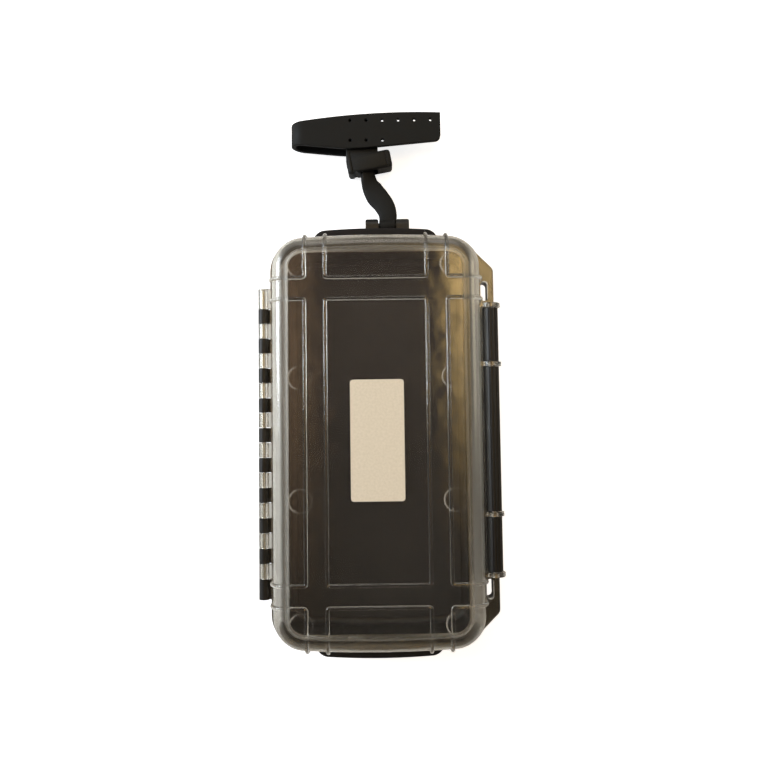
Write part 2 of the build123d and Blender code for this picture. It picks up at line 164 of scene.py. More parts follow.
# %% Room walls
WALL_COLOURS = [
    (0.0, (0.86, 0.93, 1.0)), (0.45, (0.58, 0.56, 0.53)),
    (0.70, (0.42, 0.35, 0.26)), (1.0, (0.30, 0.25, 0.18))]
CEILING_SHARES = [(0.0, 1.0), (0.55, 0.9), (0.85, 0.20), (1.0, 0.06)]
ROOM_LEAST = 0.24
ROOM_GAIN = 0.34
ROOM_ALONG = (-0.9, 0.5)

world = bpy.data.worlds.new("soft_room")
bpy.context.scene.world = world
world.use_nodes = True
room = world.node_tree.nodes
room.clear()
wire = world.node_tree.links.new
direction = room.new("ShaderNodeTexCoord")
room_axes = room.new("ShaderNodeSeparateXYZ")
wire(direction.outputs["Generated"], room_axes.inputs["Vector"])
to_right = room_axes.outputs["X"]
to_far_end = room_axes.outputs["Y"]
upward = room_axes.outputs["Z"]
wall_colour = value_ramp(world, ramp_up(world, to_right, -1.0, 1.0), WALL_COLOURS)
ceiling = value_ramp(world, upward, [(height, (share, share, share)) for height, share in CEILING_SHARES])
dimmed = room.new("ShaderNodeMix")
dimmed.data_type = "RGBA"
dimmed.blend_type = "MULTIPLY"
dimmed.inputs["Factor"].default_value = 1.0
wire(wall_colour, dimmed.inputs["A"])
wire(ceiling, dimmed.inputs["B"])
room_light = room.new("ShaderNodeBackground")
room_rise = times(world, ramp_up(world, to_far_end, *ROOM_ALONG), ROOM_GAIN)
wire(plus(world, ROOM_LEAST, room_rise), room_light.inputs["Strength"])
wire(dimmed.outputs["Result"], room_light.inputs["Color"])
print("nodes for the walls", len(room))

# %% [markdown]
# All that the flat lid mirrors to the camera is the ceiling overhead. It gets lighter towards the strap's
# end, with a soft gold patch on the latch side and a faint brown one on the hinge side. Lamps behind
# cloth could do the same, but their borders would be hard to place on the lid. Here a patch is a product
# of ramps, one for each border, and each colour channel adds up the three lights by its own levels.

# %% Ceiling patches
OVERHEAD = (0.80, 0.93)
GOLD_RISE = (0.068, 0.105)
GOLD_FALL = (0.40, 0.25)
GOLD_ALONG = (-0.22, 0.20)
GOLD_POWER = 2.2
BROWN_RISE = (-0.075, -0.12)
BROWN_ALONG = (-0.26, 0.12)
PLAIN_ALONG = (-0.28, 0.28)
PATCH_LEVELS = (("Red", 5.0, 0.66, 0.22), ("Green", 3.4, 0.40, 0.16), ("Blue", 1.30, 0.20, 0.13))

overhead = ramp_up(world, upward, *OVERHEAD)
gold = times(
    world, ramp_up(world, to_right, *GOLD_RISE), ramp_up(world, to_right, *GOLD_FALL),
    reckon(world, "POWER", ramp_up(world, to_far_end, *GOLD_ALONG), GOLD_POWER))
brown = times(world, ramp_up(world, to_right, *BROWN_RISE), ramp_up(world, to_far_end, *BROWN_ALONG))
plain = ramp_up(world, to_far_end, *PLAIN_ALONG)
patches_seen = room.new("ShaderNodeCombineColor")
for channel, gold_level, brown_level, plain_level in PATCH_LEVELS:
    level = plus(
        world, times(world, gold, gold_level), times(world, brown, brown_level),
        times(world, plain, plain_level))
    wire(times(world, level, overhead), patches_seen.inputs[channel])
ceiling_patches = room.new("ShaderNodeBackground")
wire(patches_seen.outputs["Color"], ceiling_patches.inputs["Color"])
print("nodes with the patches", len(room))

# %% [markdown]
# The light of the walls and of the ceiling is added up. The camera itself sees plain white behind the
# object instead: a Light Path node tells its rays from all others, so no wall has to be built.

# %% Room as the camera sees it
all_room = room.new("ShaderNodeAddShader")
wire(room_light.outputs["Background"], all_room.inputs[0])
wire(ceiling_patches.outputs["Background"], all_room.inputs[1])
white_back = room.new("ShaderNodeBackground")
white_back.inputs["Color"].default_value = (1.0, 1.0, 1.0, 1.0)
ray = room.new("ShaderNodeLightPath")
seen = room.new("ShaderNodeMixShader")
world_out = room.new("ShaderNodeOutputWorld")
wire(ray.outputs["Is Camera Ray"], seen.inputs["Fac"])
wire(all_room.outputs["Shader"], seen.inputs[1])
wire(white_back.outputs["Background"], seen.inputs[2])
wire(seen.outputs["Shader"], world_out.inputs["Surface"])
print("nodes in all", len(room))

# %% [markdown]
# Three large soft lamps do the rest. The first stands low on the left, slightly blue, and draws the
# bright band along the lid's hinge side. The second is warm and weaker, on the right, and the third
# stands beyond the strap, so that end is the lighter one. None hangs where the flat lid mirrors it
# to the camera.

# %% Lamps
LAMP_AIM = Vector((0.0, 0.0, 0.02))
LAMPS = [
    ("window_lamp", (-0.95, 0.35, 0.55), 0.6, 13.0, (0.84, 0.92, 1.0)),
    ("warm_lamp", (0.85, 0.25, 0.65), 0.5, 2.0, (1.0, 0.86, 0.66)),
    ("far_end_lamp", (0.1, 1.0, 0.9), 0.7, 3.0, (1.0, 0.95, 0.88)),
]
for name, place, size, watts, colour in LAMPS:
    lamp = bpy.data.lights.new(name, "AREA")
    lamp.shape = "SQUARE"
    lamp.size = size
    lamp.energy = watts
    lamp.color = colour
    stand = bpy.data.objects.new(name, lamp)
    bpy.context.scene.collection.objects.link(stand)
    stand.location = place
    stand.rotation_euler = (Vector(place) - LAMP_AIM).to_track_quat("Z", "Y").to_euler()
print("lamps", len(LAMPS))

# %% [markdown]
# The floor is white paper. Its own colour is plain, and the camera sees some light added to it, so it
# turns pure white away from the object and still keeps the soft shadow. Glossy and clear surfaces see
# a smaller share, so that the clear edges stay quieter than the paper round them.

# %% Floor
PAPER_WHITE = 0.82
GLOW_TO_CAMERA = 0.80
GLOW_IN_PLASTIC = 0.16
FLOOR_HALF = 3.0
FLOOR_DROP = 0.0001
paper = bpy.data.materials.new("white_paper")
paper.use_nodes = True
sheet = paper.node_tree.nodes
sheet.clear()
join = paper.node_tree.links.new
matt = sheet.new("ShaderNodeBsdfDiffuse")
matt.inputs["Color"].default_value = (PAPER_WHITE, PAPER_WHITE, PAPER_WHITE, 1.0)
glow = sheet.new("ShaderNodeEmission")
glow.inputs["Color"].default_value = (1.0, 1.0, 1.0, 1.0)
looker = sheet.new("ShaderNodeLightPath")
in_plastic = reckon(paper, "MAXIMUM", looker.outputs["Is Glossy Ray"], looker.outputs["Is Transmission Ray"])
to_camera = times(paper, looker.outputs["Is Camera Ray"], GLOW_TO_CAMERA)
brightness = reckon(paper, "MAXIMUM", to_camera, times(paper, in_plastic, GLOW_IN_PLASTIC))
both = sheet.new("ShaderNodeAddShader")
floor_out = sheet.new("ShaderNodeOutputMaterial")
join(brightness, glow.inputs["Strength"])
join(matt.outputs["BSDF"], both.inputs[0])
join(glow.outputs["Emission"], both.inputs[1])
join(both.outputs["Shader"], floor_out.inputs["Surface"])

floor_mesh = bpy.data.meshes.new("paper_floor")
table_top = bmesh.new()
bmesh.ops.create_grid(table_top, x_segments=1, y_segments=1, size=FLOOR_HALF)
bmesh.ops.translate(table_top, verts=table_top.verts, vec=(0.0, 0.0, -FLOOR_DROP))
table_top.to_mesh(floor_mesh)
table_top.free()
floor_mesh.materials.append(paper)
floor = bpy.data.objects.new("paper_floor", floor_mesh)
bpy.context.scene.collection.objects.link(floor)
print("floor", floor.name)

# %% [markdown]
# Every finish starts the same way: one Principled shader, and patterns that read the piece's own
# Object coordinates, so that they stay on the piece from any side. These helpers set up the shader,
# a noise, and a bump that is a real depth in metres. A noise rarely leaves the middle of its range, so
# what follows it is spread between the two values below. A finish's first colour and roughness are plain
# stand-ins where a pattern takes their place.

# %% Helpers for finishes
NOISE_LOW = 0.35
NOISE_HIGH = 0.65


def start_finish(name, colour, roughness, **more):
    """A material with one Principled shader; returns the material, its shader and the piece's coordinates."""
    finish = bpy.data.materials.new(name)
    finish.use_nodes = True
    tree = finish.node_tree
    tree.nodes.clear()
    shader = tree.nodes.new("ShaderNodeBsdfPrincipled")
    shader.inputs["Base Color"].default_value = (*colour, 1.0)
    shader.inputs["Roughness"].default_value = roughness
    for socket, value in more.items():
        shader.inputs[socket.replace("_", " ")].default_value = value
    output = tree.nodes.new("ShaderNodeOutputMaterial")
    tree.links.new(shader.outputs["BSDF"], output.inputs["Surface"])
    coordinates = tree.nodes.new("ShaderNodeTexCoord")
    return finish, shader, coordinates.outputs["Object"]


def noise(finish, place, grain, detail=2.0, stretch=(1.0, 1.0, 1.0)):
    """A noise whose grains are about that many metres across, stretched along an axis if asked."""
    tree = finish.node_tree
    turn = tree.nodes.new("ShaderNodeMapping")
    turn.inputs["Scale"].default_value = stretch
    tree.links.new(place, turn.inputs["Vector"])
    cloud = tree.nodes.new("ShaderNodeTexNoise")
    cloud.inputs["Scale"].default_value = 1.0 / grain
    cloud.inputs["Detail"].default_value = detail
    tree.links.new(turn.outputs["Vector"], cloud.inputs["Vector"])
    return cloud.outputs["Fac"]


def vary(finish, source, shader, low, high):
    """Lets the roughness follow a noise between two values."""
    roughness = between(finish, source, low, high, NOISE_LOW, NOISE_HIGH)
    finish.node_tree.links.new(roughness, shader.inputs["Roughness"])


def emboss(finish, shader, source, depth):
    """Raises the surface where the pattern is light, by a depth in metres."""
    tree = finish.node_tree
    relief = tree.nodes.new("ShaderNodeBump")
    relief.inputs["Strength"].default_value = 1.0
    relief.inputs["Distance"].default_value = depth
    tree.links.new(source, relief.inputs["Height"])
    tree.links.new(relief.outputs["Normal"], shader.inputs["Normal"])


def two_tone(finish, source, shader, dark, light):
    """Colours the surface between two tones along a noise."""
    colour = value_ramp(finish, source, [(NOISE_LOW, dark), (NOISE_HIGH, light)])
    finish.node_tree.links.new(colour, shader.inputs["Base Color"])


print("finishes ready")

# %% [markdown]
# The lid is moulded polycarbonate: clear, and slightly warm in thick places. It could be faked by making
# it see-through, but then nothing would bend or mirror at its beads and rim, so the shader transmits
# nearly all light and refracts it. Most of what follows hangs on one measure, the reach: how far a point
# lies outside the rectangle between the middles of the four corner rounds. It is the same all along the rim.

# %% Clear plastic
CLEAR_COLOUR = (0.97, 0.95, 0.91)
CLEARNESS = 0.995
CORNER_MIDDLE = (0.036, 0.086)


def distance(owner, a, b):
    """The length of the diagonal of two distances."""
    squares = plus(owner, reckon(owner, "POWER", a, 2.0), reckon(owner, "POWER", b, 2.0))
    return reckon(owner, "SQRT", squares)


clear, clear_shader, clear_place = start_finish(
    "clear_polycarbonate", CLEAR_COLOUR, roughness=0.05, IOR=1.585, Transmission_Weight=CLEARNESS)
clear_tree = clear.node_tree
clear_axes = clear_tree.nodes.new("ShaderNodeSeparateXYZ")
clear_tree.links.new(clear_place, clear_axes.inputs["Vector"])
lid_x = clear_axes.outputs["X"]
lid_y = clear_axes.outputs["Y"]
lid_z = clear_axes.outputs["Z"]
past_corner = []
for along, middle in zip((lid_x, lid_y), CORNER_MIDDLE):
    beyond = reckon(clear, "SUBTRACT", reckon(clear, "ABSOLUTE", along), middle)
    past_corner.append(reckon(clear, "MAXIMUM", beyond, 0.0))
edge_reach = distance(clear, *past_corner)
print(clear.name)

# %% [markdown]
# The thick edge of the lid scatters the light that enters it, so it reads as a soft tan band, and the
# knuckles further out are greyer. Four zones have a tint of their own, and each tint is a painted shade.
# The inner side of the wall is matt from the mould, and its painted shade darkens it. From above, a
# painted shade runs along the inside of the rim. The latch lugs get a painted shade, and a painted shade
# darkens the rim beside the latch towards the plain end. A painted picture would have to be fitted to the
# lid, while a zone made of ramps over its own coordinates lies right by itself.

# %% Tints of the lid
YELLOWED = (0.93, 0.89, 0.79)
KNUCKLE_GREY = (0.68, 0.67, 0.61)
EDGE_START = 0.0085
EDGE_FULL = 0.0125
KNUCKLE_START = 0.0188
KNUCKLE_FULL = KNUCKLE_START + 0.0008
# The tints of the four zones below are painted shade.
WALL_SHADE_TINT = (0.44, 0.41, 0.35)
WALL_REACH = (0.0070, 0.0084)
WALL_REACH_END = 0.0124
WALL_TOP = 0.0414
SHADE_TINT = (0.12, 0.11, 0.095)
SHADE_RISE = (0.0068, 0.0088)
SHADE_FALL = (0.0124, 0.0106)
SHADE_HEIGHT = (0.0412, 0.0416)
LUG_SHADE_TINT = (0.42, 0.40, 0.36)
LUG_START_X = 0.0535
LUG_START_Z = 0.0312
LATCH_RIM_SHADE_TINT = (0.50, 0.47, 0.42)
LATCH_RIM_ACROSS = (0.036, 0.044)
LATCH_RIM_ALONG = (0.035, -0.045)
LATCH_RIM_REACH = (0.0060, 0.0085)

# This mask makes the inner wall matt and lays a painted shade on it.
matt_shaded_wall = times(
    clear, ramp_up(clear, edge_reach, *WALL_REACH), reckon(clear, "LESS_THAN", lid_z, WALL_TOP),
    reckon(clear, "LESS_THAN", edge_reach, WALL_REACH_END))
# Painted shade along the inside of the rim, seen from above.
rim_shade = times(
    clear, ramp_up(clear, edge_reach, *SHADE_RISE), ramp_up(clear, edge_reach, *SHADE_FALL),
    ramp_up(clear, lid_z, *SHADE_HEIGHT))
# Painted shade on the latch lugs.
lug_shade = times(
    clear, reckon(clear, "GREATER_THAN", lid_x, LUG_START_X),
    reckon(clear, "GREATER_THAN", lid_z, LUG_START_Z))
# Painted shade on the rim beside the latch, darker towards the plain end.
latch_rim_shade = times(
    clear, ramp_up(clear, lid_x, *LATCH_RIM_ACROSS), ramp_up(clear, lid_y, *LATCH_RIM_ALONG),
    ramp_up(clear, edge_reach, *LATCH_RIM_REACH))
lid_tint = value_ramp(clear, edge_reach, [
    (EDGE_START, CLEAR_COLOUR), (EDGE_FULL, YELLOWED), (KNUCKLE_START, YELLOWED),
    (KNUCKLE_FULL, KNUCKLE_GREY)])
zones = ((matt_shaded_wall, WALL_SHADE_TINT), (rim_shade, SHADE_TINT), (lug_shade, LUG_SHADE_TINT), (latch_rim_shade, LATCH_RIM_SHADE_TINT))
# Each mix lays a painted shade over the lid's colour.
for zone, tint in zones:
    painted_shade = clear_tree.nodes.new("ShaderNodeMix")
    painted_shade.data_type = "RGBA"
    painted_shade.inputs["B"].default_value = (*tint, 1.0)
    clear_tree.links.new(zone, painted_shade.inputs["Factor"])
    clear_tree.links.new(lid_tint, painted_shade.inputs["A"])
    lid_tint = painted_shade.outputs["Result"]
clear_tree.links.new(lid_tint, clear_shader.inputs["Base Color"])
print("tinted zones", len(zones))

# %% [markdown]
# The edge is also cloudier than the rest. The cloud is stronger towards the hinge and the strap, the
# sides that the window lamp and the far end lamp light, so those sides read lighter: a painted light.
# Faint arcs mark the eight ejector discs, where pins pushed the lid out of its mould. The discs stand in
# two columns of four. For each column a point is measured to the nearest disc, and a ring is strongest on
# its left, a painted highlight on the side that faces the window lamp. Haze and rings both take a little
# from the light that the plastic lets through.

# %% Haze and rings
EDGE_HAZE = 0.040
HAZE_ACROSS = (0.045, -0.045)
HAZE_ALONG = (-0.09, 0.06)
LATCH_SIDE_SHARE = 0.22
PLAIN_END_SHARE = 0.50
DISC_SIDES = (-0.038, 0.038)
DISC_ROWS = (0.087, 0.031, -0.0293, -0.089)
RING_RADIUS = 0.0057
RING_WIDTH = 0.0005
RING_LEAST = 0.12
RING_HAZE = 0.22

ring_light = 0.0
for side_x in DISC_SIDES:
    to_side = reckon(clear, "SUBTRACT", lid_x, side_x)
    to_row = 1.0
    for row_y in DISC_ROWS:
        past_row = reckon(clear, "ABSOLUTE", reckon(clear, "SUBTRACT", lid_y, row_y))
        to_row = reckon(clear, "MINIMUM", to_row, past_row)
    off_ring = reckon(clear, "SUBTRACT", distance(clear, to_side, to_row), RING_RADIUS)
    off_ring = reckon(clear, "DIVIDE", reckon(clear, "ABSOLUTE", off_ring), RING_WIDTH)
    thin = reckon(clear, "MAXIMUM", reckon(clear, "SUBTRACT", 1.0, off_ring), 0.0)
    # Painted highlight: each ring is stronger on its left, the side that faces the window lamp.
    painted_left_highlight = reckon(clear, "MAXIMUM", reckon(clear, "DIVIDE", to_side, -RING_RADIUS), RING_LEAST)
    ring_light = plus(clear, ring_light, times(clear, thin, painted_left_highlight))
edge_cloud = between(clear, edge_reach, low=0.0, high=EDGE_HAZE, near=EDGE_START, far=EDGE_FULL)
# Painted light: more haze on the hinge and strap sides, where the lamps fall, makes them read lighter.
lit_hinge_haze = times(clear, ramp_up(clear, lid_x, *HAZE_ACROSS), 1.0 - LATCH_SIDE_SHARE)
lit_strap_haze = times(clear, ramp_up(clear, lid_y, *HAZE_ALONG), 1.0 - PLAIN_END_SHARE)
sides = times(clear, plus(clear, LATCH_SIDE_SHARE, lit_hinge_haze), plus(clear, PLAIN_END_SHARE, lit_strap_haze))
cloudy = plus(clear, times(clear, edge_cloud, sides), times(clear, ring_light, RING_HAZE))
let_through = reckon(clear, "SUBTRACT", CLEARNESS, cloudy)
clear_tree.links.new(let_through, clear_shader.inputs["Transmission Weight"])
print("ejector discs", len(DISC_SIDES) * len(DISC_ROWS))

# %% [markdown]
# The lid is never quite polished: handling leaves faint cloudy patches and the mould a very slow ripple,
# and its edge and wall are rougher than its top. Shadow rays pass straight through, because a clear lid
# casts hardly any shadow on what is under it, and a refracted shadow would need many more samples.

# %% Skin and shadow of the lid
SOFT_REACH = (0.0062, 0.0095)
SOFT_ROUGHNESS = 0.14
WALL_ROUGHNESS = 0.40
SHADOW_TINT = (0.90, 0.88, 0.84, 1.0)

patches = noise(clear, clear_place, grain=0.014, detail=4.0)
patch_rough = between(clear, patches, low=0.035, high=0.065, near=NOISE_LOW, far=NOISE_HIGH)
soft_edge = times(clear, ramp_up(clear, edge_reach, *SOFT_REACH), SOFT_ROUGHNESS)
soft_edge = plus(clear, soft_edge, times(clear, matt_shaded_wall, WALL_ROUGHNESS))
clear_tree.links.new(plus(clear, patch_rough, soft_edge), clear_shader.inputs["Roughness"])
ripple = noise(clear, clear_place, grain=0.009, detail=1.0)
emboss(clear, clear_shader, ripple, depth=0.00006)
pass_through = clear_tree.nodes.new("ShaderNodeBsdfTransparent")
pass_through.inputs["Color"].default_value = SHADOW_TINT
shadow_ray = clear_tree.nodes.new("ShaderNodeLightPath")
lid_mix = clear_tree.nodes.new("ShaderNodeMixShader")
lid_out = [n for n in clear_tree.nodes if n.type == "OUTPUT_MATERIAL"][0]
clear_tree.links.new(shadow_ray.outputs["Is Shadow Ray"], lid_mix.inputs["Fac"])
clear_tree.links.new(clear_shader.outputs["BSDF"], lid_mix.inputs[1])
clear_tree.links.new(pass_through.outputs["BSDF"], lid_mix.inputs[2])
clear_tree.links.new(lid_mix.outputs["Shader"], lid_out.inputs["Surface"])
print("clear plastic", len(clear_tree.nodes), "nodes")

# %% [markdown]
# The tub is black polycarbonate with a spark-eroded texture: grains a fifth of a millimetre across,
# a soft sheen, and paler scuffs where hands and tables rub it.

# %% Black shell
black, black_shader, black_place = start_finish(
    "eroded_black", (0.016, 0.015, 0.014), roughness=0.42, Specular_IOR_Level=0.35)
grain = noise(black, black_place, grain=0.00022, detail=2.0)
scuffs = noise(black, black_place, grain=0.011, detail=5.0)
emboss(black, black_shader, grain, depth=0.00004)
two_tone(black, scuffs, black_shader, dark=(0.006, 0.0055, 0.005), light=(0.013, 0.0120, 0.0105))
vary(black, scuffs, black_shader, low=0.36, high=0.52)
print(black.name)

# %% [markdown]
# The bumpers, liner, seal and strap are rubber. They differ in how matt they are: the bumpers have a
# coarse matt skin, the liner a fine one with dust in it, and the seal a wiped sheen.

# %% Rubbers


def rubber(name, dark, light, grain_size, depth, rough_low, rough_high):
    """A rubber with a moulded skin and cloudy, slightly dusty colour."""
    finish, shader, place = start_finish(name, light, rough_high, Specular_IOR_Level=0.22)
    skin = noise(finish, place, grain_size, detail=3.0)
    dust = noise(finish, place, grain=0.006, detail=5.0)
    emboss(finish, shader, skin, depth)
    two_tone(finish, dust, shader, dark, light)
    vary(finish, dust, shader, rough_low, rough_high)
    return finish


bumper_skin = rubber(
    "bumper_skin", dark=(0.006, 0.005, 0.0045), light=(0.012, 0.0100, 0.0090),
    grain_size=0.0004, depth=0.00005, rough_low=0.65, rough_high=0.82)
liner_skin = rubber(
    "liner_skin", dark=(0.006, 0.0050, 0.0045), light=(0.011, 0.0095, 0.0082),
    grain_size=0.0005, depth=0.00005, rough_low=0.65, rough_high=0.82)
seal_skin = rubber(
    "seal_skin", dark=(0.020, 0.018, 0.016), light=(0.035, 0.031, 0.028),
    grain_size=0.0006, depth=0.00002, rough_low=0.35, rough_high=0.50)
strap_skin = rubber(
    "strap_skin", dark=(0.005, 0.005, 0.0044), light=(0.010, 0.010, 0.0090),
    grain_size=0.0003, depth=0.00003, rough_low=0.62, rough_high=0.80)
print("rubbers", bumper_skin.name, liner_skin.name, seal_skin.name, strap_skin.name)

# %% [markdown]
# The latch is smoother and darker than the tub, with fine rubbed lines along its length. The keeper of
# the strap is the same plastic, a little more matt.

# %% Latch and keeper plastic
latch_black, latch_shader, latch_place = start_finish(
    "rubbed_black", (0.007, 0.006, 0.005), roughness=0.28, Specular_IOR_Level=0.4)
rubbed = noise(latch_black, latch_place, grain=0.0006, detail=3.0, stretch=(1.0, 0.04, 1.0))
emboss(latch_black, latch_shader, rubbed, depth=0.000004)
vary(latch_black, rubbed, latch_shader, low=0.36, high=0.48)
keeper_black, keeper_shader, keeper_place = start_finish(
    "keeper_plastic", (0.007, 0.007, 0.006), roughness=0.5, Specular_IOR_Level=0.25)
keeper_grain = noise(keeper_black, keeper_place, grain=0.0003, detail=2.0)
emboss(keeper_black, keeper_shader, keeper_grain, depth=0.00003)
vary(keeper_black, keeper_grain, keeper_shader, low=0.50, high=0.66)
print(latch_black.name, keeper_black.name)

# %% [markdown]
# The two long pins are drawn stainless wire, so their lines run along them. The strap's bar is
# blackened.

# %% Pins
steel, steel_shader, steel_place = start_finish(
    "drawn_steel", (0.66, 0.64, 0.61), roughness=0.28, Metallic=1.0)
drawn = noise(steel, steel_place, grain=0.0003, detail=2.0, stretch=(1.0, 0.02, 1.0))
vary(steel, drawn, steel_shader, low=0.18, high=0.36)
emboss(steel, steel_shader, drawn, depth=0.000005)
dark_steel, dark_shader, dark_place = start_finish(
    "blackened_steel", (0.045, 0.043, 0.040), roughness=0.45, Metallic=1.0)
dark_grain = noise(dark_steel, dark_place, grain=0.0006, detail=2.0)
vary(dark_steel, dark_grain, dark_shader, low=0.38, high=0.55)
print(steel.name, dark_steel.name)

# %% [markdown]
# The label is a blank satin sticker for the owner's own note.

# %% Label
sticker, sticker_shader, sticker_place = start_finish(
    "satin_sticker", (0.66, 0.59, 0.48), roughness=0.42)
fibre = noise(sticker, sticker_place, grain=0.0012, detail=5.0)
two_tone(sticker, fibre, sticker_shader, dark=(0.75, 0.68, 0.55), light=(0.81, 0.735, 0.605))
emboss(sticker, sticker_shader, fibre, depth=0.00001)
print(sticker.name)

# %% [markdown]
# The wrist strap is rubber, so its CAD solids are only stand-ins. Its three pieces are built here from
# rough shapes that are cut, joined and softened by modifiers. Each modifier's result is frozen into the
# mesh, so that the finished piece is plain geometry at the origin.

# %% Strap helpers


def add_piece(name, mesh, finish, body):
    """Puts a mesh in the scene as a piece that rides on a CAD body and takes its finish from a slot."""
    mesh.name = name
    mesh.materials.clear()
    mesh.materials.append(finish)
    piece = bpy.data.objects.new(name, mesh)
    bpy.context.scene.collection.objects.link(piece)
    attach(piece, body)
    return piece


def frozen(piece):
    """The mesh that a piece's modifiers give, as a mesh of its own."""
    bpy.context.view_layer.update()
    shown = piece.evaluated_get(bpy.context.evaluated_depsgraph_get())
    return bpy.data.meshes.new_from_object(shown)


def freeze(rough):
    """Puts what a rough piece's modifiers give in the place of its mesh."""
    result = frozen(rough)
    rough.modifiers.clear()
    rough.data = result


def rough_piece(model, name):
    """A bmesh as an object that modifiers can work on; the bmesh is used up."""
    mesh = bpy.data.meshes.new(name)
    model.to_mesh(mesh)
    model.free()
    rough = bpy.data.objects.new(name, mesh)
    bpy.context.scene.collection.objects.link(rough)
    return rough


def carve(rough, tool, operation):
    """Cuts a rough piece with another one, or joins the two, and removes the tool."""
    knife = rough.modifiers.new("carve", "BOOLEAN")
    knife.operation = operation
    knife.solver = "EXACT"
    knife.object = tool
    freeze(rough)
    bpy.data.objects.remove(tool)


def soften(rough, width, segments, angle):
    """Rounds the edges of a rough piece that are sharper than an angle in degrees."""
    edge = rough.modifiers.new("soften", "BEVEL")
    edge.width = width
    edge.segments = segments
    edge.limit_method = "ANGLE"
    edge.angle_limit = math.radians(angle)
    freeze(rough)


def finish_rough(rough, name, finish, body, crease):
    """Turns a rough piece into a finished one with smooth shading between its real edges."""
    mesh = rough.data
    bpy.data.objects.remove(rough)
    mesh.shade_smooth()
    mesh.set_sharp_from_angle(angle=math.radians(crease))
    return add_piece(name, mesh, finish, body)


print("strap helpers ready")

# %% [markdown]
# The band is a flat strip: it comes out of the keeper, turns back round a bend and lies over the keeper
# with a free tail. Its long edges aren't parallel, so each has its own function, which gives the edge in
# plan from a few measures in millimetres. The strip is widest over the keeper, and its tail has one
# rounded corner.

# %% Band plan
BAND_LENGTH = 81.4 * MM
FAR_MEAN = 6.95
FAR_SLOPE = 2.35
FAR_ARCH = 2.05
NEAR_LOWEST = -10.4
NEAR_RISE_TO_BEND = 3.5
NEAR_RISE_TO_TAIL = 4.2
VALLEY_PLACE = -8.0
VALLEY_WIDTH = 5.0
VALLEY_FILL = 0.35
TAIL_CORNER = 2.8


def band_far_edge(x):
    """The far edge of the band in plan: an arch from 4.6 mm at the bend to 9.3 mm at the tail."""
    share = x / (BAND_LENGTH / 2)
    return (FAR_MEAN + FAR_SLOPE * share + FAR_ARCH * (1 - share * share)) * MM


def band_near_edge(x):
    """The near edge in plan: lowest where the keeper is, with a rounded corner at the tail."""
    half = BAND_LENGTH / 2
    valley = VALLEY_PLACE * MM
    if x < valley:
        edge = (NEAR_LOWEST + NEAR_RISE_TO_BEND * (valley - x) / (valley + half)) * MM
    else:
        edge = (NEAR_LOWEST + NEAR_RISE_TO_TAIL * (x - valley) / (half - valley)) * MM
    edge += VALLEY_FILL * MM * math.exp(-((x - valley) / (VALLEY_WIDTH * MM)) ** 2)
    corner = TAIL_CORNER * MM
    into = max(0.0, x - (half - corner))
    return edge + corner - math.sqrt(max(0.0, corner ** 2 - into ** 2))


print("band width in its middle", round((band_far_edge(0.0) - band_near_edge(0.0)) / MM, 1), "mm")

# %% [markdown]
# The band starts as a sheet down the middle of the rubber. A swept curve could make the bend, but not a
# plan with two free edges, so the sheet grows row by row: a grid is the lower run, its left end is spun
# half a turn round the bend, and the last row is extruded to the tail. The rows lie closer together
# towards the tail's rounded corner, and all of them are then fitted to the plan.

# %% Band sheet
BAND_PLACE = Vector((-4.8, 167.2, 0.0)) * MM
BAND_HEIGHT = 13.4 * MM
BAND_THICKNESS = 2.3 * MM
LOWER_END = -1.0 * MM
BAND_COLUMNS = 14
LOWER_ROWS = 10
BEND_ROWS = 18
UPPER_ROWS = 48
ROW_CLOSING = 1.35
SAME_PLACE = 1e-7

half_band = BAND_LENGTH / 2
bend_radius = BAND_HEIGHT / 2
middle_low = BAND_THICKNESS / 2
bend_centre = Vector((bend_radius - half_band, 0.0, bend_radius))
strip = bmesh.new()
bmesh.ops.create_grid(strip, x_segments=LOWER_ROWS, y_segments=BAND_COLUMNS, size=0.5)
lower_run = (half_band + LOWER_END) - bend_radius
for vertex in strip.verts:
    vertex.co.x = LOWER_END - (0.5 - vertex.co.x) * lower_run
    vertex.co.z = middle_low
left_end = min(vertex.co.x for vertex in strip.verts)
rim = [e for e in strip.edges if all(abs(v.co.x - left_end) < SAME_PLACE for v in e.verts)]
spun = bmesh.ops.spin(
    strip, geom=rim, cent=bend_centre, axis=(0.0, 1.0, 0.0), dvec=(0.0, 0.0, 0.0), angle=math.pi,
    steps=BEND_ROWS, use_merge=False, use_duplicate=False)
rim = [g for g in spun["geom_last"] if isinstance(g, bmesh.types.BMEdge)]
upper_run = half_band - (bend_radius - half_band)
for step in range(UPPER_ROWS):
    left_over = (1.0 - step / UPPER_ROWS) ** ROW_CLOSING
    stride = upper_run * (left_over - (1.0 - (step + 1) / UPPER_ROWS) ** ROW_CLOSING)
    pulled = bmesh.ops.extrude_edge_only(strip, edges=rim)["geom"]
    fresh = [g for g in pulled if isinstance(g, bmesh.types.BMVert)]
    rim = [g for g in pulled if isinstance(g, bmesh.types.BMEdge) and all(v in fresh for v in g.verts)]
    bmesh.ops.translate(strip, verts=fresh, vec=(stride, 0.0, 0.0))
for vertex in strip.verts:
    near = band_near_edge(vertex.co.x)
    far = band_far_edge(vertex.co.x)
    vertex.co.y = near + (vertex.co.y + 0.5) * (far - near)
bmesh.ops.recalc_face_normals(strip, faces=strip.faces)
bmesh.ops.translate(strip, verts=strip.verts, vec=BAND_PLACE)
print("band sheet", len(strip.faces), "faces")

# %% [markdown]
# Solidify gives the sheet its thickness, and a bevel rounds the edges. The small round holes, which set
# the band's length, are cut last, because a bevel after them would round their edges too. A straight
# punch goes through, and a shallow cone flares each hole at the top.

# %% Band thickness and holes
HOLE_ROWS = ((5.3 * MM, 6), (-5.7 * MM, 3))
HOLE_START = -8.2
HOLE_PITCH = 8.7
HOLE_SIDES = 24


